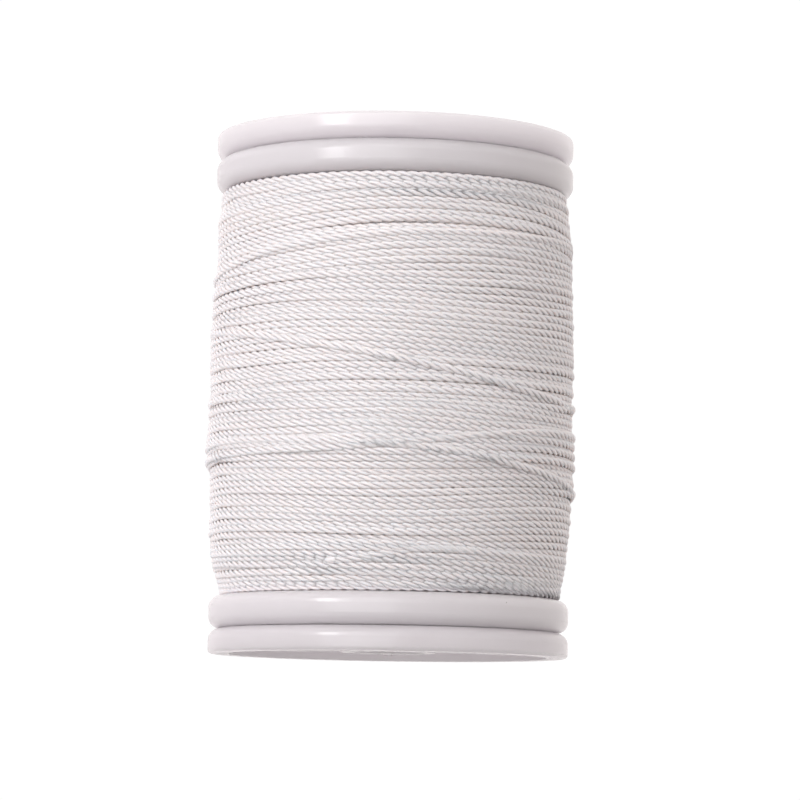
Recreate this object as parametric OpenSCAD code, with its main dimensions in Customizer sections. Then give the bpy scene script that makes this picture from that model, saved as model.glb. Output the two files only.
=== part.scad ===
// Reel of twisted racket string: a tube with two press-fitted flanges, a snap cap at each end that
// traps the string's tail in the groove beside the flange, and the string wound in level layers.
// Millimetres, +Z up along the reel's axis, origin at the centre of the lower standing face.

/* [Reel] */
// Diameter of the flange rims and the snap cap rims
flange_d = 40; // [38:0.5:46]
// Height from the lower standing face to the top face
reel_h = 58; // [50:0.5:80]
// Height of a snap cap's rim
cap_rim_h = 2.75; // [2.6:0.05:3.2]
// Height of a flange's rim
flange_rim_h = 3.6; // [3.2:0.1:4.4]
// Gap between the lips of a closed cap and its flange
lip_gap = 0.05; // [0.05:0.05:0.3]

/* [Snap cap] */
// How far a cap slides out to let the string's tail in
cap_travel = 1.5; // [1.2:0.1:1.8]
// Number of snap fingers on a cap's stem
finger_count = 4; // [3:1:6]
// Number of ribs in a cap's recess
rib_count = 6; // [4:1:10]

/* [Spindle and tube] */
// Diameter of the spindle bore through both caps
spindle_bore_d = 8.2; // [6:0.2:9]
// Outside diameter of the tube that the string is wound on
tube_d = 18; // [18:0.5:20]
// Wall thickness of the tube
tube_wall = 1.5; // [1.4:0.1:1.8]

/* [String] */
// Diameter of the twisted string
string_d = 0.8; // [0.6:0.05:0.9]
// Greatest diameter of the winding
winding_d = 41.2; // [39:0.2:42]
// Thickness of the outer layers that are seen
outer_layers_t = 2.4; // [2.3:0.1:3]

/* [Hidden] */
$fn = 96;

milky = [0.88, 0.87, 0.89];
string_white = [0.95, 0.94, 0.94];
string_cream = [0.93, 0.91, 0.88];

flange_r = flange_d / 2;
tube_r = tube_d / 2;
tube_bore_r = tube_r - tube_wall;
string_r = string_d / 2;

rim_t = 2.3;                        // radial thickness of every rim
groove_round = 1.25;                // rounding of the lips on both sides of the groove
outer_round = 0.4;                  // rounding of a cap's standing edge
winding_round = 1.3;                // rounding of a flange's edge beside the winding
rim_inner_r = flange_r - rim_t;
web_t = 1.05;                       // thickness of a cap's disc
recess_h = cap_rim_h - web_t;       // depth of the recess in a cap's outer face
flange_web_t = 1.4;
flange_z = cap_rim_h + lip_gap;     // outer face of a flange's rim
winding_z = flange_z + flange_rim_h;
winding_h = reel_h - 2 * winding_z;

collar_t = 1.7;                     // collar that grips the end of the tube
tube_z = flange_z + 0.3;            // lower end of the tube
slide_fit = 0.1;                    // radial clearance of a stem in the tube
stem_r = tube_bore_r - slide_fit;
stem_wall = 1.1;
stem_top = cap_rim_h + 9.5;
hub_wall = 1.2;
hub_z = 0.4;                        // the hub stops just short of the standing face
hub_top = 11;
bore_r = spindle_bore_d / 2;

slot_w = 1.2;                       // slots that part the fingers
slot_z = 4.2;
barb_w = 4;
barb_h = 1.5;
barb_out = 0.6;                     // how far a barb stands out of its stem
barb_z = stem_top - barb_h;
pocket_play = 0.1;
rib_t = 1;
rib_z = 0.6;

anchor_z = reel_h / 2;
anchor_hole_d = string_d + 0.2;
knot_r = 1.2 * string_d;

free_end_z = winding_z + 3;
free_end_gap = 0.1;
free_end_bead_r = 1.15 * string_r;  // heat-sealed bead at the tip
free_end_start = 261;               // bearing of the sealed tip, in degrees round +Z
free_end_sweep = 150;

// Half of the winding's outline, as [share of its height, radius less the greatest radius]
winding_steps = [[0, -2.2], [0.03, -1.6], [0.09, -0.9], [0.2, -0.4], [0.3, 0]];

// Ring section from r_in to r_out with its two outer corners rounded
module rim_section(r_in, r_out, z_low, z_high, low_round, high_round) {
    translate([r_in, z_low + low_round])
        square([r_out - r_in, z_high - z_low - low_round - high_round]);
    translate([r_in, z_low])
        square([r_out - r_in - low_round, low_round + 0.01]);
    translate([r_in, z_high - high_round - 0.01])
        square([r_out - r_in - high_round, high_round + 0.01]);
    translate([r_out - low_round, z_low + low_round]) circle(r = low_round);
    translate([r_out - high_round, z_high - high_round]) circle(r = high_round);
}

// Plain ring section
module ring_section(r_in, r_out, z_low, z_high) {
    translate([r_in, z_low]) square([r_out - r_in, z_high - z_low]);
}

// Whatever it is given, turned over to the top end of the reel
module at_top() {
    translate([0, 0, reel_h]) mirror([0, 0, 1]) children();
}

// Bars through the axis, at the bearings of the fingers' barbs
module finger_bars(width, reach, z_low, z_high) {
    for (i = [0 : finger_count - 1])
        rotate([0, 0, i * 360 / finger_count])
            translate([0, -width / 2, z_low]) cube([reach, width, z_high - z_low]);
}

// Tube that the string is wound on, with pockets inside for the barbs and a hole for the knot
module core_tube() {
    pocket_low = barb_z - cap_travel - pocket_play;
    pocket_high = stem_top + pocket_play;
    pocket_r = stem_r + barb_out + pocket_play;
    color(milky)
    difference() {
        rotate_extrude() ring_section(tube_bore_r, tube_r, tube_z, reel_h - tube_z);
        intersection() {
            cylinder(r = pocket_r, h = reel_h);
            union() {
                finger_bars(barb_w + 0.3, tube_r, pocket_low, pocket_high);
                at_top() finger_bars(barb_w + 0.3, tube_r, pocket_low, pocket_high);
            }
        }
        translate([0, 0, anchor_z]) rotate([0, 90, 0]) cylinder(d = anchor_hole_d, h = tube_r + 1);
    }
}

// Flange of the lower end: bead rim, thin disc beside the winding and a collar on the tube
module flange() {
    rotate_extrude() {
        rim_section(rim_inner_r, flange_r, flange_z, winding_z, groove_round, winding_round);
        ring_section(tube_r, rim_inner_r + 0.5, winding_z - flange_web_t, winding_z);
        ring_section(tube_r, tube_r + collar_t, tube_z, winding_z);
    }
}

module lower_flange() {
    color(milky) flange();
}

module upper_flange() {
    color(milky) at_top() flange();
}

// Catches at the tips of the fingers: flat towards the cap, ramped towards the tube
module barbs() {
    intersection() {
        rotate_extrude()
            polygon([[stem_r - 0.5, barb_z], [stem_r + barb_out, barb_z],
                     [stem_r + barb_out, barb_z + 0.4], [stem_r, stem_top],
                     [stem_r - 0.5, stem_top]]);
        finger_bars(barb_w, tube_r, barb_z - 1, stem_top + 1);
    }
}

// Cap of the lower end: bead rim, disc, spindle hub, ribs and a stem of snap fingers
module snap_cap() {
    difference() {
        rotate_extrude() {
            rim_section(rim_inner_r, flange_r, 0, cap_rim_h, outer_round, groove_round);
            ring_section(bore_r, rim_inner_r + 0.5, recess_h, cap_rim_h);
            ring_section(bore_r, bore_r + hub_wall, hub_z, hub_top);
            ring_section(stem_r - stem_wall, stem_r, recess_h, stem_top);
        }
        for (i = [0 : finger_count - 1])
            rotate([0, 0, (i + 0.5) * 360 / finger_count])
                translate([stem_r - stem_wall - 0.4, -slot_w / 2, slot_z])
                    cube([stem_wall + 1, slot_w, stem_top]);
    }
    barbs();
    for (i = [0 : rib_count - 1])
        rotate([0, 0, (i + 0.5) * 360 / rib_count])
            translate([bore_r + hub_wall - 0.3, -rib_t / 2, rib_z])
                cube([rim_inner_r + 0.3 - bore_r - hub_wall + 0.3, rib_t, recess_h + 0.3 - rib_z]);
}

module lower_snap_cap() {
    color(milky) snap_cap();
}

module upper_snap_cap() {
    color(milky) at_top() snap_cap();
}

// First end of the string: a stub through the tube's wall and its knot inside the tube
module string_anchor_knot() {
    color(string_white)
    translate([0, 0, anchor_z]) {
        translate([tube_bore_r - knot_r, 0, 0]) rotate([0, 90, 0])
            cylinder(r = string_r, h = tube_r - tube_bore_r + knot_r);
        translate([tube_bore_r - knot_r - 0.05, 0, 0]) sphere(r = knot_r);
    }
}

// Layers that are never seen, as the closed sleeve that they fill
module string_inner_layers() {
    color(string_white)
    rotate_extrude()
        ring_section(tube_r, winding_d / 2 - outer_layers_t, winding_z, winding_z + winding_h);
}

// Layers that are seen: a sleeve that swells from both flanges to the middle
module string_outer_layers() {
    top = winding_d / 2;
    low_half = [for (s = winding_steps) [top + s[1], winding_z + s[0] * winding_h]];
    high_half = [for (i = [len(winding_steps) - 1 : -1 : 0])
        [top + winding_steps[i][1], winding_z + (1 - winding_steps[i][0]) * winding_h]];
    color(string_white)
    rotate_extrude()
        polygon(concat([[top - outer_layers_t, winding_z]], low_half, high_half,
                       [[top - outer_layers_t, winding_z + winding_h]]));
}

// Last turn's end, lying on the winding near the lower flange, with its heat-sealed tip
module string_free_end() {
    surface_r = winding_d / 2
        + lookup((free_end_z + string_r - winding_z) / winding_h, winding_steps);
    centre_r = surface_r + string_r + free_end_gap;
    color(string_cream)
    translate([0, 0, free_end_z]) rotate([0, 0, free_end_start]) {
        rotate_extrude(angle = free_end_sweep) translate([centre_r, 0]) circle(r = string_r);
        translate([centre_r, 0, 0]) sphere(r = free_end_bead_r);
    }
}

core_tube();
lower_flange();
upper_flange();
lower_snap_cap();
upper_snap_cap();
string_anchor_knot();
string_inner_layers();
string_outer_layers();
string_free_end();
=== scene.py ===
import math

import bmesh
import bpy
import numpy as np
from mathutils import Matrix, Vector


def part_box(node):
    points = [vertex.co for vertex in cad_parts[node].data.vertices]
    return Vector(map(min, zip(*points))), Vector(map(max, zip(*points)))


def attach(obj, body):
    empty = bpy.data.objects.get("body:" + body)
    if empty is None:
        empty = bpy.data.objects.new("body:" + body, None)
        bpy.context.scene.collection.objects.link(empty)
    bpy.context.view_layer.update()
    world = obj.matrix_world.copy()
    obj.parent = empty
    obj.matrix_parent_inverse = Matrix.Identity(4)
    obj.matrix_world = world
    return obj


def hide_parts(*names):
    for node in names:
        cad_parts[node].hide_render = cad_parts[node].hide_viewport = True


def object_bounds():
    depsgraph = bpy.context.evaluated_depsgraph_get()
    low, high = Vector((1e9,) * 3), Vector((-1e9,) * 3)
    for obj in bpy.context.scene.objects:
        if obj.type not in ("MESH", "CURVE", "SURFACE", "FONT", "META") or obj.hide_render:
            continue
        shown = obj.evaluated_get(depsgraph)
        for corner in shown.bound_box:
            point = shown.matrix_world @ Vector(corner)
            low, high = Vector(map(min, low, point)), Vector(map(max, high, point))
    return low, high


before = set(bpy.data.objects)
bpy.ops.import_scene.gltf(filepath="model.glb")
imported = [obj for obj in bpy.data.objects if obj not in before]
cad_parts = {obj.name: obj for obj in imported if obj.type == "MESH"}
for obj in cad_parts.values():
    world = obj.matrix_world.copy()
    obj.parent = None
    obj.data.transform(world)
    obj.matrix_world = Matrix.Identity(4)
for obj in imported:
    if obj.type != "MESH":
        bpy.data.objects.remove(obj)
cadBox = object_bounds()
millimetre = 0.001
fullTurn = 2 * math.pi
print("frame loaded:", ", ".join(sorted(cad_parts)))


class Wire:
    # wraps one output socket: operators add Math nodes, node() adds any other node and sets it up
    def __init__(self, tree, socket=None):
        self.tree, self.socket = tree, socket

    def node(self, kind, settings=None, values=None, output=0):
        made = self.tree.nodes.new(kind)
        for key, value in (settings or {}).items():
            setattr(made, key, value)
        for key, value in (values or {}).items():
            if isinstance(value, Wire):
                self.tree.links.new(value.socket, made.inputs[key])
            else:
                made.inputs[key].default_value = value
        return Wire(self.tree, made.outputs[output] if len(made.outputs) else None)

    def other(self, output):
        return Wire(self.tree, self.socket.node.outputs[output])

    def maths(self, operation, a, b):
        return self.node("ShaderNodeMath", {"operation": operation}, {0: a, 1: b})

    def __add__(self, b):
        return self.maths("ADD", self, b)

    __radd__ = __add__

    def __sub__(self, b):
        return self.maths("SUBTRACT", self, b)

    def __rsub__(self, b):
        return self.maths("SUBTRACT", b, self)

    def __mul__(self, b):
        return self.maths("MULTIPLY", self, b)

    __rmul__ = __mul__

    def __truediv__(self, b):
        return self.maths("DIVIDE", self, b)


# the camera stands a little below the reel's base and looks up at it
cameraSet = {
    "distance": 21.89,     # from the reel's axis, in flange radii
    "height": -0.680,      # over the reel's base, in flange radii
    "yaw": 0.1224,         # degrees
    "pitch": 5.510,
    "roll": 0.913,
    "lens": 176.97,
}


def makeCamera(flangeRadius):
    yaw, pitch, roll = (math.radians(cameraSet[k]) for k in ("yaw", "pitch", "roll"))
    forward = Vector((math.sin(yaw) * math.cos(pitch), math.cos(yaw) * math.cos(pitch), math.sin(pitch)))
    level = Vector((math.cos(yaw), -math.sin(yaw), 0))
    lifted = level.cross(forward)
    right = math.cos(roll) * level + math.sin(roll) * lifted
    up = math.cos(roll) * lifted - math.sin(roll) * level
    camera = bpy.data.objects.new("camera", bpy.data.cameras.new("camera"))
    camera.data.lens = cameraSet["lens"]
    camera.data.sensor_width = 36
    camera.data.clip_start, camera.data.clip_end = 0.01, 20
    place = Vector((0, -cameraSet["distance"], cameraSet["height"])) * flangeRadius
    turn = Matrix((right, up, -forward)).transposed().to_4x4()
    camera.matrix_world = Matrix.Translation(place) @ turn
    bpy.context.scene.collection.objects.link(camera)
    bpy.context.scene.camera = camera


def newMaterial(name):
    material = bpy.data.materials.new(name)
    material.use_nodes = True
    tree = material.node_tree
    tree.nodes.clear()
    return material, Wire(tree)


def showSurface(wire, shader):
    wire.node("ShaderNodeOutputMaterial", values={"Surface": shader})


def mixColour(wire, amount, low, high):
    mixed = wire.node("ShaderNodeMix", {"data_type": "RGBA"}, output=2)
    node = mixed.socket.node
    for socket, value in ((node.inputs[0], amount), (node.inputs[6], low), (node.inputs[7], high)):
        if isinstance(value, Wire):
            wire.tree.links.new(value.socket, socket)
        else:
            socket.default_value = value if socket is node.inputs[0] else (*value, 1)
    return mixed


plasticLook = {
    "thin": (0.755, 0.702, 0.748),     # milky polypropylene, as its thinner places look
    "thick": (0.730, 0.677, 0.718),
    "flangePaintedLift": 1.09,                # painted light: how much paler the flanges and the tube are made, to make up for light lost inside them
    "cloudSize": 9.0,                  # millimetres
    "roughness": 0.18,
    "scuff": 0.10,                     # how much the roughness varies
    "capScatter": 9.0,                 # how deep light goes into a cap, in millimetres
    "flangeScatter": 7.5,              # and into the flanges and the tube
    "flowLines": 0.004,                # millimetres of relief round the rims
    "flowStretch": (60, 60, 3800),     # how the relief is drawn out into lines round the rims
    "grainScale": 2600.0,
    "grainInRelief": 0.25,
    "reliefStrength": 0.6,
    "speckSpacing": 2.6,               # millimetres between specks of dust
    "speckSize": 0.035,                # against their spacing
    "speckRarity": 0.86,               # share of the places for a speck that stay empty
    "speckStrength": 0.55,
    "speck": (0.30, 0.26, 0.25),
}


def plasticMaterial(name, scatterDepth, paintedLift=1.0):
    look = plasticLook
    # a lift over one pales this copy of the plastic: painted light, making up for light that scatters away
    # inside the part
    thin, thick = (tuple(paintedLift * part for part in look[shade]) for shade in ("thin", "thick"))
    material, wire = newMaterial(name)
    place = wire.node("ShaderNodeTexCoord").other("Object")
    cloud = wire.node("ShaderNodeTexNoise", values={
        "Vector": place, "Scale": 1 / (look["cloudSize"] * millimetre), "Detail": 3.0, "Roughness": 0.55})
    grain = wire.node("ShaderNodeTexNoise", values={
        "Vector": place, "Scale": look["grainScale"], "Detail": 4.0})
    speck = wire.node("ShaderNodeTexVoronoi", values={
        "Vector": place, "Scale": 1 / (look["speckSpacing"] * millimetre)})
    chosen = wire.node("ShaderNodeSeparateColor", values={"Color": speck.other("Color")})
    isSpeck = (wire.maths("LESS_THAN", speck, look["speckSize"])
               * wire.maths("GREATER_THAN", chosen, look["speckRarity"]))
    milky = mixColour(wire, cloud, thin, thick)
    colour = mixColour(wire, isSpeck * look["speckStrength"], milky, look["speck"])
    flow = wire.node("ShaderNodeVectorMath", {"operation": "MULTIPLY"}, {0: place, 1: look["flowStretch"]})
    ridges = wire.node("ShaderNodeTexNoise", values={"Vector": flow, "Scale": 1.0, "Detail": 2.0})
    bump = wire.node("ShaderNodeBump", values={
        "Height": ridges + grain * look["grainInRelief"],
        "Distance": look["flowLines"] * millimetre, "Strength": look["reliefStrength"]})
    shader = wire.node("ShaderNodeBsdfPrincipled", {"subsurface_method": "RANDOM_WALK"}, {
        "Base Color": colour,
        "Roughness": look["roughness"] + look["scuff"] * grain,
        "Normal": bump,
        "Subsurface Weight": 1.0,
        "Subsurface Radius": (1.0, 1.0, 1.0),
        "Subsurface Scale": scatterDepth * millimetre,
        "IOR": 1.49,
    })
    showSurface(wire, shader)
    return material


stringLook = {
    "bright": (0.970, 0.898, 0.912),
    "dull": (0.945, 0.866, 0.868),
    "paintedCreaseShade": (0.950, 0.865, 0.825),   # painted shade, a little warm, where two turns meet
    "groove": (0.860, 0.800, 0.815),   # painted shade between two plies
    "paintedCreaseShadeRange": (-0.25, 0.65),      # how far out of the winding a place stands, from full painted crease shade to none
    "paintedGrooveShadeRange": (0.62, 0.93),       # how far from the string's middle it is, from full painted groove shade to none on the ply
    "tintLength": 55.0,                # millimetres of string over which its white drifts
    "driftShare": 0.7,                 # what the drift and the fibres add to the shade
    "fibreShare": 0.3,
    "shadeRange": (0.34, 0.66),
    "fibreWidth": 0.060,               # millimetres
    "fibreLength": 2.0,
    "fibreRelief": 0.012,
    "fibreRoughness": 0.14,
    "roughness": 0.30,
    "scatterDepth": 0.38,              # millimetres
}


def stringMaterial():
    look = stringLook
    material, wire = newMaterial("silkyString")
    around = wire.node("ShaderNodeAttribute", {"attribute_name": "around"}).other("Vector")
    along = wire.node("ShaderNodeAttribute", {"attribute_name": "along"}).other("Fac")
    proud = wire.node("ShaderNodeAttribute", {"attribute_name": "proud"}).other("Fac")
    crown = wire.node("ShaderNodeAttribute", {"attribute_name": "crown"}).other("Fac")
    ahead = wire.node("ShaderNodeCombineXYZ", values={
        "Z": along * (look["fibreWidth"] / look["fibreLength"])})
    strand = wire.node("ShaderNodeVectorMath", {"operation": "ADD"}, {0: around, 1: ahead})
    fibres = wire.node("ShaderNodeTexNoise", values={
        "Vector": strand, "Scale": 1 / (look["fibreWidth"] * millimetre), "Detail": 2.0, "Roughness": 0.6})
    drift = wire.node("ShaderNodeTexNoise", {"noise_dimensions": "1D"}, {
        "W": along, "Scale": 1 / (look["tintLength"] * millimetre), "Detail": 2.0})
    shade = wire.node("ShaderNodeMapRange", values={
        "Value": drift * look["driftShare"] + fibres * look["fibreShare"],
        "From Min": look["shadeRange"][0], "From Max": look["shadeRange"][1]})
    white = mixColour(wire, shade, look["bright"], look["dull"])
    # painted shade in the grooves between the plies, darker the nearer the string's middle
    outOfPaintedGrooveShade = wire.node("ShaderNodeMapRange", {"interpolation_type": "SMOOTHSTEP"}, {
        "Value": crown, "From Min": look["paintedGrooveShadeRange"][0], "From Max": look["paintedGrooveShadeRange"][1]})
    white = mixColour(wire, outOfPaintedGrooveShade, look["groove"], white)
    # painted shade, a little warm, in the creases where two turns meet
    clearOfPaintedCreaseShade = wire.node("ShaderNodeMapRange", {"interpolation_type": "SMOOTHSTEP"}, {
        "Value": proud, "From Min": look["paintedCreaseShadeRange"][0], "From Max": look["paintedCreaseShadeRange"][1]})
    bump = wire.node("ShaderNodeBump", values={
        "Height": fibres, "Distance": look["fibreRelief"] * millimetre, "Strength": 0.8})
    shader = wire.node("ShaderNodeBsdfPrincipled", {"subsurface_method": "RANDOM_WALK"}, {
        "Base Color": mixColour(wire, clearOfPaintedCreaseShade, look["paintedCreaseShade"], white),
        "Subsurface Weight": 0.8,
        "Subsurface Radius": (1.0, 0.88, 0.82),
        "Subsurface Scale": look["scatterDepth"] * millimetre,
        "Roughness": look["roughness"] + look["fibreRoughness"] * fibres,
        "Normal": bump,
        "IOR": 1.58,
        "Sheen Weight": 0.12,
        "Sheen Roughness": 0.45,
    })
    showSurface(wire, shader)
    return material


# the twisted string, and how it flattens where it is wound under tension
stringSet = {
    "plies": 3,
    "plyRadius": 0.172,        # millimetres, as everything here is
    "plyOffset": 0.214,
    "lay": 3.75,               # length of one full twist
    "width": 1.24,             # how much wider a wound string is than a slack one
    "thickness": 0.88,         # and how much thinner
    "beside": 0.64,            # how near two wound strings come, side by side
    "over": 0.42,              # and one over the other
    "sides": 7,
    "ringsPerLay": 8,
    "turnsPerPiece": 16,
}

windingSet = {
    "stepsPerTurn": 240,
    "pitch": 0.67,
    "passes": (1.00, 0.00, 0.095),  # where each pass ends, as a share of the winding's height
    "flangeGap": 0.01,
    "dwell": 0.8,              # turns laid against a flange before the next pass
    "calm": 3.0,               # how near a flange the turns stop straying
    "outline": [               # share of the winding's height, and how far inside its greatest radius
        (0.00, 1.95), (0.04, 1.50), (0.09, 1.15), (0.14, 0.65), (0.22, 0.35), (0.32, 0.20),
        (0.50, 0.42), (0.75, 0.68), (0.92, 0.95), (0.96, 1.25), (1.00, 1.45),
    ],
    "pileUp": 0.60,            # the most that crossing turns stand up
    "wander": (0.50, 0.26, 0.14),   # how far turns stray once, twice and three times a turn
    "wanderTurns": 9.0,        # turns before the straying changes
    "jitter": 0.03,            # how unsteady one turn is beside the next
    "jitterTurns": 0.3,
    "noiseBlur": 0.3,          # how much every straying is evened out, against how long it lasts
    "uneven": [(0.06, 0.45), (0.12, 3.5)],  # lumps under the string, and how many turns they last
    "slip": 0.35,              # how far a turn may slide into the groove beside it
    "strayFrom": 0.49,         # share of the course after which strays are put in
    "turnRound": 0.06,         # turns over which the string turns back at a flange
    "bedDepth": 0.85,          # how far the bed lies under the level, in strings laid one over the other
    "settleRounds": 6,         # how often a turn feels for its groove, and how far to each side
    "feel": 0.15,
    "slideStep": 0.09,         # how far it slides each time, for a slope of one
    "steepest": 1.2,
    "slopeBlur": 0.025,        # turns over which the slope, the course and the pull are evened out
    "courseBlur": 0.008,
    "pullBlurs": (0.035, 0.025, 0.015),
    "joinFade": 0.02,          # turns over which one turn eases into the next
    "tailTurns": 0.42,         # how much of the last turn belongs to the free end
    "seed": 11,
    "tipBearing": 251.5,       # degrees round +Z, where the string's end lies
    "tipDrop": 1.5,            # how far the end dips, and over how much of a turn
    "tipDropTurns": 0.09,
}

# turns that stray over the ones already laid: where each leaves its row (bearing and height),
# how far it climbs, and the shares of the turn that it spends on the climb and at the top
strayTurns = [
    {"bearing": 0.0, "height": 28.0, "rise": 7.4, "climb": 0.50, "stay": 0.02},
    {"bearing": 180.0, "height": 20.8, "rise": 3.6, "climb": 0.35, "stay": 0.10},
    {"bearing": 0.0, "height": 18.0, "rise": 4.8, "climb": 0.27, "stay": 0.30},
    {"bearing": 120.0, "height": 41.0, "rise": 3.8, "climb": 0.35, "stay": 0.20},
]


def smoothStep(t):
    t = np.clip(t, 0, 1)
    return t * t * (3 - 2 * t)


def smoothAlong(values, sigma):
    reach = int(4 * sigma) + 1
    kernel = np.exp(-0.5 * (np.arange(-reach, reach + 1) / sigma) ** 2)
    padded = np.pad(values, reach, mode="edge")
    return np.convolve(padded, kernel / kernel.sum(), mode="valid")


def slowNoise(random, turns, period):
    knots = random.normal(0, 1, int(turns[-1] / period) + 4)
    wave = np.interp(turns, np.arange(len(knots)) * period, knots)
    return smoothAlong(wave, windingSet["stepsPerTurn"] * period * windingSet["noiseBlur"])


def passHeights(low, high):
    # the level passes from flange to flange
    steps, heights, at = windingSet["stepsPerTurn"], [], 0.0
    for end in windingSet["passes"]:
        share = np.linspace(at, end, int(abs(end - at) * (high - low) / windingSet["pitch"] * steps))
        heights.append(low + share * (high - low))
        if end in (0, 1):
            heights.append(np.full(int(windingSet["dwell"] * steps), heights[-1][-1]))
        at = end
    return smoothAlong(np.concatenate(heights), steps * windingSet["turnRound"])


def addStrays(heights):
    # each stray is one more turn, put in where the last pass comes by its bearing and height
    steps = windingSet["stepsPerTurn"]
    for stray in strayTurns:
        bearings = windingSet["tipBearing"] + (len(heights) - 1 - np.arange(len(heights))) * 360 / steps
        offBearing = np.abs((bearings - stray["bearing"] + 180) % 360 - 180)
        offHeight = np.abs(heights - stray["height"])
        offHeight[:int(len(heights) * windingSet["strayFrom"])] = np.inf
        start = int(np.argmin(offHeight + offBearing))
        share = np.arange(steps) / steps
        fallStart = stray["climb"] + stray["stay"]
        up = smoothStep(share / stray["climb"]) - smoothStep((share - fallStart) / (1 - fallStart))
        turn = heights[start] + stray["rise"] * up
        heights = np.concatenate([heights[:start], turn, heights[start:]])
    return heights


def guideCourse(low, high):
    # height of the string at every step, before it settles on the turns below
    random = np.random.default_rng(windingSet["seed"])
    course = addStrays(passHeights(low, high))
    turns = np.arange(len(course)) / windingSet["stepsPerTurn"]
    free = smoothStep(np.minimum(course - low, high - course) / windingSet["calm"])
    for times, reach in enumerate(windingSet["wander"], 1):
        angle = turns * fullTurn * times
        course += free * reach * slowNoise(random, turns, windingSet["wanderTurns"]) * np.cos(angle)
        course += free * reach * slowNoise(random, turns, windingSet["wanderTurns"]) * np.sin(angle)
    course += windingSet["jitter"] * slowNoise(random, turns, windingSet["jitterTurns"])
    lumps = sum(reach * slowNoise(random, turns, lasts) for reach, lasts in windingSet["uneven"])
    fromEnd = turns[-1] - turns
    course -= windingSet["tipDrop"] * smoothStep(1 - fromEnd / windingSet["tipDropTurns"])
    return np.clip(course, low, high), turns, lumps


def outlineRadius(heights, low, high, greatest):
    # how far out the winding's surface is: fullest below its middle, and it falls away towards both flanges
    share, inside = zip(*windingSet["outline"])
    return greatest - np.interp((heights - low) / (high - low), share, inside)


def restingRadius(height, bed, laidHeights, laidRadii):
    # the least radius at which a string at this height clears its bed and the strings already laid
    if not len(laidHeights):
        return bed
    apart = np.abs(laidHeights - height) / stringSet["beside"]
    clear = laidRadii + stringSet["over"] * np.sqrt(np.maximum(1 - apart ** 2, 0))
    return np.maximum(bed, np.where(apart < 1, clear, 0).max(axis=0))


def layTurn(index, start, course, bed, heights, radii):
    # settles one turn on what is laid already: it slides towards the nearest groove, then pulls taut
    steps, slip = windingSet["stepsPerTurn"], windingSet["slip"]
    below = [index - steps * k for k in range(1, start // steps + 2)]
    laid = [(row >= 0) & (row < start) for row in below]
    laidHeights = np.array([np.where(known, heights[np.clip(row, 0, None)], -99.0)
                            for row, known in zip(below, laid)])
    laidRadii = np.array([np.where(known, radii[np.clip(row, 0, None)], 0.0)
                          for row, known in zip(below, laid)])
    here, feel, steepest = course[index], windingSet["feel"], windingSet["steepest"]
    for _ in range(windingSet["settleRounds"]):
        higher = restingRadius(here + feel, bed[index], laidHeights, laidRadii)
        lower = restingRadius(here - feel, bed[index], laidHeights, laidRadii)
        slope = smoothAlong((higher - lower) / (2 * feel), steps * windingSet["slopeBlur"])
        here = here - windingSet["slideStep"] * np.clip(slope, -steepest, steepest)
        here = np.clip(here, course[index] - slip, course[index] + slip)
    here = np.clip(smoothAlong(here, steps * windingSet["courseBlur"]), course.min(), course.max())
    resting = restingRadius(here, bed[index], laidHeights, laidRadii)
    taut = resting
    for blur in windingSet["pullBlurs"]:
        taut = np.maximum(resting, smoothAlong(taut, steps * blur))
    return here, smoothAlong(taut, steps * windingSet["courseBlur"])


def pressDown(radii, level):
    # turns that pile up over the level of the winding press into the ones below
    pileUp = windingSet["pileUp"]
    return np.minimum(radii, level) + pileUp * (1 - np.exp(-np.maximum(radii - level, 0) / pileUp))


def layString(low, high, greatest):
    steps = windingSet["stepsPerTurn"]
    halfThickness = (stringSet["plyRadius"] + stringSet["plyOffset"]) * stringSet["thickness"]
    course, turns, lumps = guideCourse(low, high)
    level = outlineRadius(course, low, high, greatest) - halfThickness
    bed = level - windingSet["bedDepth"] * stringSet["over"] + lumps
    count = len(course)
    heights, radii = course.copy(), np.zeros(count)
    margin = steps // 6        # laid on both sides of each turn, so that its ends come out smooth
    for start in range(0, count, steps):
        stop = min(count, start + steps)
        index = np.arange(max(0, start - margin), min(count, stop + margin))
        here, taut = layTurn(index, start, course, bed, heights, radii)
        inner = (index >= start) & (index < stop)
        here, taut = here[inner], pressDown(taut[inner], level[start:stop])
        if start:
            fade = np.exp(-np.arange(stop - start) / (steps * windingSet["joinFade"]))
            here = here + (heights[start - 1] - here[0]) * fade
            taut = taut + (radii[start - 1] - taut[0]) * fade
        heights[start:stop], radii[start:stop] = here, taut
    angles = np.radians(windingSet["tipBearing"] + (turns[-1] - turns) * 360)
    points = np.stack([radii * np.cos(angles), radii * np.sin(angles), heights], axis=1) * millimetre
    print("string laid:", round(turns[-1], 1), "turns, outermost radius",
          round(float(radii.max() + halfThickness), 2), "mm")
    return points


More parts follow.
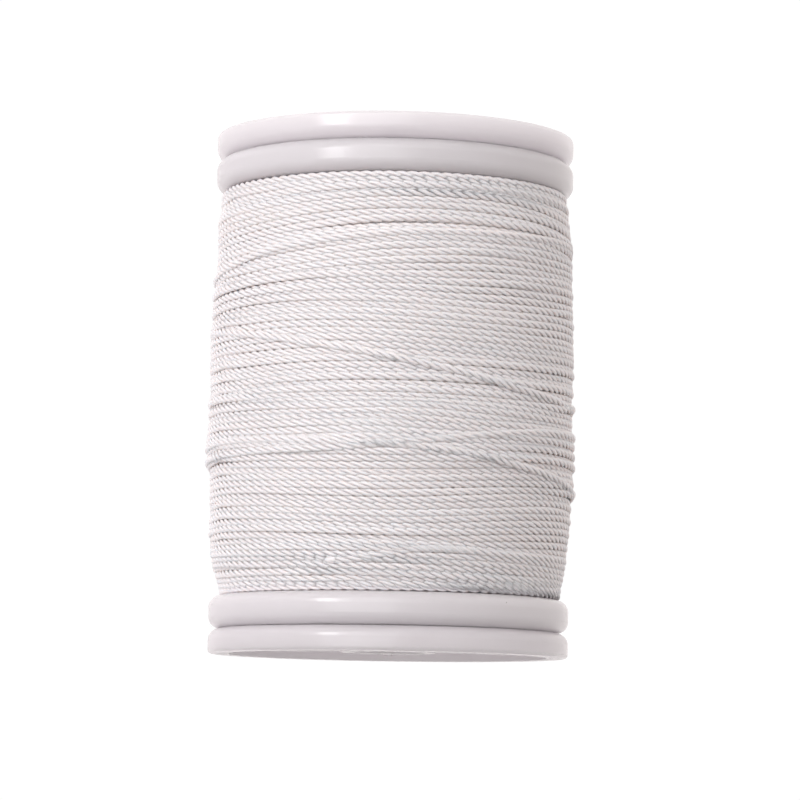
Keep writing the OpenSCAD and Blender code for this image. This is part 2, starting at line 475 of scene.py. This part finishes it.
def makeTwistTree(material):
    # turns a line into twisted plies; each ply follows a helix round the line
    tree = bpy.data.node_groups.new("twistedString", "GeometryNodeTree")
    tree.interface.new_socket("Geometry", in_out="INPUT", socket_type="NodeSocketGeometry")
    for name in ("Ply Radius", "Ply Offset", "Lay", "Ring Spacing", "Start", "Width", "Thickness"):
        tree.interface.new_socket(name, in_out="INPUT", socket_type="NodeSocketFloat")
    tree.interface.new_socket("Sides", in_out="INPUT", socket_type="NodeSocketInt")
    tree.interface.new_socket("Geometry", in_out="OUTPUT", socket_type="NodeSocketGeometry")
    wire = Wire(tree)
    given = wire.node("NodeGroupInput")
    place = wire.node("GeometryNodeInputPosition")

    def vectors(operation, a, b=(0.0, 0.0, 0.0)):
        return wire.node("ShaderNodeVectorMath", {"operation": operation}, {0: a, 1: b})

    def keep(geometry, name, kind, value):
        return wire.node("GeometryNodeStoreNamedAttribute", {"data_type": kind, "domain": "POINT"}, {
            "Geometry": geometry, "Name": name, "Value": value})

    def fromAxis(point):
        return vectors("LENGTH", vectors("MULTIPLY", point, (1.0, 1.0, 0.0))).other("Value")

    line = wire.node("GeometryNodeMeshToCurve", values={"Mesh": given.other("Geometry")})
    line = wire.node("GeometryNodeResampleCurve", {"mode": "LENGTH"}, {
        "Curve": line, "Length": given.other("Ring Spacing")})
    line = wire.node("GeometryNodeSetCurveNormal", {"mode": "Z_UP"}, {"Curve": line})
    along = wire.node("GeometryNodeSplineParameter").other("Length") + given.other("Start")
    line = keep(line, "along", "FLOAT", along)
    line = keep(line, "centre", "FLOAT_VECTOR", place)
    tangent, normal = wire.node("GeometryNodeInputTangent"), wire.node("GeometryNodeInputNormal")
    side = vectors("CROSS_PRODUCT", tangent, normal)
    ring = wire.node("GeometryNodeCurvePrimitiveCircle", {"mode": "RADIUS"}, {
        "Resolution": given.other("Sides"), "Radius": given.other("Ply Radius")})
    ring = keep(ring, "around", "FLOAT_VECTOR", place)
    joined = wire.node("GeometryNodeJoinGeometry")
    for ply in range(stringSet["plies"]):
        turned = along / given.other("Lay") * fullTurn + ply * fullTurn / stringSet["plies"]
        outward = wire.node("ShaderNodeVectorMath", {"operation": "SCALE"}, {
            0: normal, "Scale": wire.maths("COSINE", turned, 0.0) * given.other("Ply Offset")})
        upward = wire.node("ShaderNodeVectorMath", {"operation": "SCALE"}, {
            0: side, "Scale": wire.maths("SINE", turned, 0.0) * given.other("Ply Offset")})
        helix = wire.node("GeometryNodeSetPosition", values={
            "Geometry": line, "Offset": vectors("ADD", outward, upward)})
        tube = wire.node("GeometryNodeCurveToMesh", values={
            "Curve": helix, "Profile Curve": ring, "Fill Caps": True})
        tree.links.new(tube.socket, joined.socket.node.inputs["Geometry"])
    # flattened against the reel
    centre = wire.node("GeometryNodeInputNamedAttribute", {"data_type": "FLOAT_VECTOR"}, {"Name": "centre"})
    squash = wire.node("ShaderNodeCombineXYZ", values={
        "X": given.other("Thickness"), "Y": given.other("Thickness"), "Z": given.other("Width")})
    flattened = vectors("ADD", centre, vectors("MULTIPLY", vectors("SUBTRACT", place, centre), squash))
    laid = wire.node("GeometryNodeSetPosition", values={"Geometry": joined, "Position": flattened})
    halfThickness = (given.other("Ply Radius") + given.other("Ply Offset")) * given.other("Thickness")
    laid = keep(laid, "crown", "FLOAT", vectors("DISTANCE", place, centre).other("Value") / halfThickness)
    laid = keep(laid, "proud", "FLOAT", (fromAxis(place) - fromAxis(centre)) / halfThickness)
    real = wire.node("GeometryNodeRealizeInstances", values={"Geometry": laid})
    finished = wire.node("GeometryNodeSetMaterial", values={"Geometry": real, "Material": material})
    wire.node("NodeGroupOutput", values={"Geometry": finished})
    return tree


def lineObject(name, points):
    mesh = bpy.data.meshes.new(name)
    mesh.from_pydata([tuple(p) for p in points], [(i, i + 1) for i in range(len(points) - 1)], [])
    made = bpy.data.objects.new(name, mesh)
    bpy.context.scene.collection.objects.link(made)
    return made


def twistUp(name, points, tree, startLength=0.0, slack=False):
    made = lineObject(name, points)
    modifier = made.modifiers.new("twist", "NODES")
    modifier.node_group = tree
    values = {
        "Ply Radius": stringSet["plyRadius"] * millimetre,
        "Ply Offset": stringSet["plyOffset"] * millimetre,
        "Lay": stringSet["lay"] * millimetre,
        "Ring Spacing": stringSet["lay"] / stringSet["ringsPerLay"] * millimetre,
        "Start": startLength,
        "Width": 1.0 if slack else stringSet["width"],
        "Thickness": 1.0 if slack else stringSet["thickness"],
        "Sides": stringSet["sides"],
    }
    for item in tree.interface.items_tree:
        if item.in_out == "INPUT" and item.name in values:
            modifier[item.identifier] = values[item.name]
    bpy.context.view_layer.update()
    finished = bpy.data.meshes.new_from_object(
        made.evaluated_get(bpy.context.evaluated_depsgraph_get()))
    made.modifiers.remove(modifier)
    line = made.data
    made.data = finished
    bpy.data.meshes.remove(line)
    finished.name = name
    finished.shade_smooth()
    print(name, len(finished.polygons), "faces")
    return made


def asString(piece, *nodes):
    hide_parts(*nodes)
    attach(piece, "reel")


def makeWinding(tree):
    low, high = (corner.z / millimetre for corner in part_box("string_outer_layers"))
    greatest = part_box("string_outer_layers")[1].x / millimetre
    halfWidth = (stringSet["plyRadius"] + stringSet["plyOffset"]) * stringSet["width"]
    margin = windingSet["flangeGap"] + halfWidth
    points = layString(low + margin, high - margin, greatest)
    lengths = np.concatenate([[0], np.cumsum(np.linalg.norm(np.diff(points, axis=0), axis=1))])
    tail = int(windingSet["stepsPerTurn"] * windingSet["tailTurns"])
    wound = len(points) - tail
    chunk = stringSet["turnsPerPiece"] * windingSet["stepsPerTurn"]
    starts = list(range(0, wound - chunk // 4, chunk))
    for number, start in enumerate(starts, 1):
        stop = wound if start == starts[-1] else start + chunk
        piece = twistUp(f"wound_string_{number}", points[start:stop + 1], tree, lengths[start])
        asString(piece, "string_outer_layers")
    end = twistUp("string_tail", points[wound:], tree, lengths[wound])
    asString(end, "string_free_end")
    return points


tipSet = {
    "length": 1.30,            # millimetres of string that the heat has sealed
    "swelling": 1.04,          # against the string's own half width
    "flute": 0.16,             # what is left of the grooves between the plies
    "fluteTwist": 2.2,         # radians over its length
    "buried": 0.40,            # share of the plug that lies back over the string
    "belly": 0.10,             # how much wider it is in its middle
    "roundness": 2.6,          # how blunt its nose is
    "rings": 12,
    "sides": 24,
}


def joinRows(mesh, lower, upper):
    count = len(lower)
    for side in range(count):
        mesh.faces.new((lower[side], lower[(side + 1) % count], upper[(side + 1) % count], upper[side]))


def makeTip(points, material):
    # a rounded plug that the plies have melted into; its grooves fade towards the end
    end, ahead = Vector(points[-1]), (Vector(points[-1]) - Vector(points[-4])).normalized()
    outward = Vector((end.x, end.y, 0)).normalized()
    upward = ahead.cross(outward).normalized()
    radius = (stringSet["plyRadius"] + stringSet["plyOffset"]) * millimetre * tipSet["swelling"]
    length = tipSet["length"] * millimetre
    mesh = bmesh.new()
    rows = []
    for ring in range(tipSet["rings"]):
        share = ring / tipSet["rings"]
        belly = 1 - tipSet["belly"] * (1 - math.sin(math.pi * share))
        across = radius * math.sqrt(1 - share ** tipSet["roundness"]) * belly
        row = []
        for side in range(tipSet["sides"]):
            angle = side / tipSet["sides"] * fullTurn
            groove = 0.5 + 0.5 * math.cos(stringSet["plies"] * angle - tipSet["fluteTwist"] * share)
            flute = 1 - tipSet["flute"] * (1 - share) ** 2 * groove
            place = (end + ahead * (share - tipSet["buried"]) * length
                     + outward * (across * flute * math.cos(angle) * stringSet["thickness"])
                     + upward * (across * flute * math.sin(angle) * stringSet["width"]))
            row.append(mesh.verts.new(place))
        rows.append(row)
    nose = mesh.verts.new(end + ahead * (1 - tipSet["buried"]) * length)
    for lower, upper in zip(rows, rows[1:]):
        joinRows(mesh, lower, upper)
    for side, corner in enumerate(rows[-1]):
        mesh.faces.new((corner, rows[-1][(side + 1) % len(rows[-1])], nose))
    mesh.faces.new(list(reversed(rows[0])))
    piece = meshObject("string_tip", mesh, material)
    asString(piece, "string_free_end")


def meshObject(name, mesh, material):
    bmesh.ops.recalc_face_normals(mesh, faces=mesh.faces)
    data = bpy.data.meshes.new(name)
    mesh.to_mesh(data)
    mesh.free()
    data.materials.append(material)
    data.shade_smooth()
    # crown and proud at their fullest, so these pieces get none of the string's painted groove and crease
    # shade
    ones = [1.0] * len(data.vertices)
    for attribute in ("proud", "crown"):
        data.attributes.new(attribute, "FLOAT", "POINT").data.foreach_set("value", ones)
    made = bpy.data.objects.new(name, data)
    bpy.context.scene.collection.objects.link(made)
    print(name, len(data.polygons), "faces")
    return made


innerSet = {
    "clearance": 1.75,         # millimetres inside the outline, under the turns that are laid one by one
    "ridge": 0.20,             # relief of its turns
    "gap": 0.02,               # from the tube and from both flanges
    "rowsPerTurn": 6,
    "sides": 72,
}


def makeInnerLayers(material):
    # the layers that nothing shows, as one ridged barrel on the tube
    inner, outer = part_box("string_inner_layers"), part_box("string_outer_layers")
    gap, sides = innerSet["gap"], innerSet["sides"]
    low, high = inner[0].z / millimetre, inner[1].z / millimetre
    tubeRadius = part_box("core_tube")[1].x / millimetre + gap
    count = int((high - low) / windingSet["pitch"] * innerSet["rowsPerTurn"])
    heights = np.linspace(low + gap, high - gap, count)
    outline = outlineRadius(heights, low, high, outer[1].x / millimetre) - innerSet["clearance"]
    mesh = bmesh.new()

    def addRow(height, reachAt):
        row = []
        for side in range(sides):
            angle = side / sides * fullTurn
            reach = reachAt(angle)
            place = Vector((reach * math.cos(angle), reach * math.sin(angle), height)) * millimetre
            row.append(mesh.verts.new(place))
        return row

    def ridge(height, angle):
        return innerSet["ridge"] * abs(math.sin(math.pi * height / windingSet["pitch"] + angle / 2))

    rows = [addRow(height, lambda angle: radius + ridge(height, angle))
            for height, radius in zip(heights, outline)]
    rows += [addRow(height, lambda angle: tubeRadius) for height in (heights[-1], heights[0])]
    for lower, upper in zip(rows, rows[1:] + rows[:1]):
        joinRows(mesh, lower, upper)
    asString(meshObject("wound_inner_layers", mesh, material), "string_inner_layers")


knotSet = {
    "loop": 0.27,              # size of the knot's loops, in millimetres
    "depth": 0.42,             # how far its strands pass over each other
    "steps": 90,
    "leadSteps": 12,           # for the straight part through the wall
    "wall": 0.56,              # where the tube's inner wall is, as a share of the knot's box
    "inset": 1.15,             # from the tube's inner wall to the knot's middle
    "begin": 0.5,              # where the loops begin, and how much of them is left open, in radians
    "open": 0.75,
    "smoothing": 1.6,
}


def makeKnot(tree):
    # the string's first end: through the tube's wall, then an overhand knot that can't be pulled back out
    low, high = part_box("string_anchor_knot")
    middleHeight, tubeRadius = (low.z + high.z) / 2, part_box("core_tube")[1].x
    innerWall = low.x + (high.x - low.x) * knotSet["wall"]
    middle = Vector((innerWall - knotSet["inset"] * millimetre, 0, middleHeight))
    lead = np.linspace(tubeRadius, innerWall, knotSet["leadSteps"])
    points = [Vector((x, 0, middleHeight)) for x in lead]
    for step in range(knotSet["steps"]):
        t = knotSet["begin"] + (fullTurn - knotSet["open"]) * step / (knotSet["steps"] - 1)
        across = (math.sin(t) + 2 * math.sin(2 * t), math.cos(t) - 2 * math.cos(2 * t))
        points.append(middle + Vector((-knotSet["depth"] * math.sin(3 * t), knotSet["loop"] * across[0],
                                       knotSet["loop"] * across[1])) * millimetre)
    course = np.stack([smoothAlong(np.array([point[axis] for point in points]), knotSet["smoothing"])
                       for axis in range(3)], axis=1)
    asString(twistUp("anchor_knot", course, tree, slack=True), "string_anchor_knot")


stageSet = {
    "floorSize": 3.0,
    "floorColour": (0.86, 0.86, 0.86),
    "roomLight": 0.82,          # what the room gives from all sides
    "fromLeft": 0.02,           # how much more it gives from the left, and from behind
    "fromBehind": 0.32,
    "fromBelow": 0.30,          # the share of it that comes from straight below
    "evenAbove": -0.1,          # over this slope the room is evenly light
    "backdrop": 1.02,           # what the camera sees behind the reel
    "leftTint": (1.0, 0.945, 0.965),
    "rightTint": (1.0, 0.952, 0.925),
    "keyPower": 0.12,
    "keySize": (0.060, 0.022),
    "keyPlace": (-0.150, -0.190, 0.112),
    "washPower": 4.8,
    "washSize": (0.9, 0.9),
    "washPlace": (-0.30, -0.92, 0.34),
}


def makeFloor():
    half = stageSet["floorSize"] / 2
    mesh = bpy.data.meshes.new("floor")
    corners = [(-half, -half, 0), (half, -half, 0), (half, half, 0), (-half, half, 0)]
    mesh.from_pydata(corners, [], [(0, 1, 2, 3)])
    floor = bpy.data.objects.new("floor", mesh)
    bpy.context.scene.collection.objects.link(floor)
    material, wire = newMaterial("paleFloor")
    # seen from above only, and out of the way of the light that reaches the reel's underside
    fromAbove = 1 - wire.node("ShaderNodeNewGeometry").other("Backfacing")
    seen = wire.node("ShaderNodeLightPath").other("Is Camera Ray") * fromAbove
    matt = wire.node("ShaderNodeBsdfDiffuse", values={"Color": (*stageSet["floorColour"], 1)})
    clear = wire.node("ShaderNodeBsdfTransparent")
    mixed = wire.node("ShaderNodeMixShader", values={0: seen, 1: clear, 2: matt})
    showSurface(wire, mixed)
    mesh.materials.append(material)


def softBox(name, power, size, place, target):
    light = bpy.data.objects.new(name, bpy.data.lights.new(name, "AREA"))
    light.data.shape = "RECTANGLE"
    light.data.size, light.data.size_y = size
    light.data.energy = power
    aim = Vector(target) - Vector(place)
    turn = aim.to_track_quat("-Z", "Y").to_matrix().to_4x4()
    light.matrix_world = Matrix.Translation(Vector(place)) @ turn
    bpy.context.scene.collection.objects.link(light)


def makeLight(middle):
    softBox("key", stageSet["keyPower"], stageSet["keySize"], stageSet["keyPlace"], middle)
    softBox("wash", stageSet["washPower"], stageSet["washSize"], stageSet["washPlace"], middle)
    world = bpy.data.worlds.new("studio")
    bpy.context.scene.world = world
    world.use_nodes = True
    world.node_tree.nodes.clear()
    wire = Wire(world.node_tree)
    seen = wire.node("ShaderNodeLightPath").other("Is Camera Ray")
    heading = wire.node("ShaderNodeSeparateXYZ", values={
        "Vector": wire.node("ShaderNodeTexCoord").other("Generated")})
    rightward, backward, upward = (heading.other(name) for name in "XYZ")
    level = stageSet["roomLight"] - stageSet["fromLeft"] * rightward + stageSet["fromBehind"] * backward
    above = wire.node("ShaderNodeMapRange", {"interpolation_type": "SMOOTHSTEP"}, {
        "Value": upward, "From Min": -1.0, "From Max": stageSet["evenAbove"],
        "To Min": stageSet["fromBelow"]})
    tint = mixColour(wire, 0.5 + 0.5 * rightward, stageSet["leftTint"], stageSet["rightTint"])
    dim = wire.node("ShaderNodeBackground", values={"Color": tint, "Strength": level * above})
    white = wire.node("ShaderNodeBackground", values={
        "Color": (1, 1, 1, 1), "Strength": stageSet["backdrop"]})
    mixed = wire.node("ShaderNodeMixShader", values={0: seen, 1: dim, 2: white})
    wire.node("ShaderNodeOutputWorld", values={"Surface": mixed})
    bpy.context.scene.view_settings.view_transform = "Standard"


makeCamera(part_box("lower_flange")[1].x)
capPlastic = plasticMaterial("capPlastic", plasticLook["capScatter"])
# the flanges and the tube get a paler copy of the cap plastic: painted light
paintedPaleFlangePlastic = plasticMaterial("paintedPaleFlangePlastic", plasticLook["flangeScatter"], plasticLook["flangePaintedLift"])
silky = stringMaterial()
plasticOf = {
    "core_tube": paintedPaleFlangePlastic, "lower_flange": paintedPaleFlangePlastic, "upper_flange": paintedPaleFlangePlastic,
    "lower_snap_cap": capPlastic, "upper_snap_cap": capPlastic,
}
for name, plastic in plasticOf.items():
    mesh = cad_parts[name].data
    mesh.materials.clear()
    mesh.materials.append(plastic)
print("plastic done")
twist = makeTwistTree(silky)
laidPoints = makeWinding(twist)
makeTip(laidPoints, silky)
makeInnerLayers(silky)
makeKnot(twist)
print("string done")
makeFloor()
makeLight((cadBox[0] + cadBox[1]) / 2)
print("stage done")
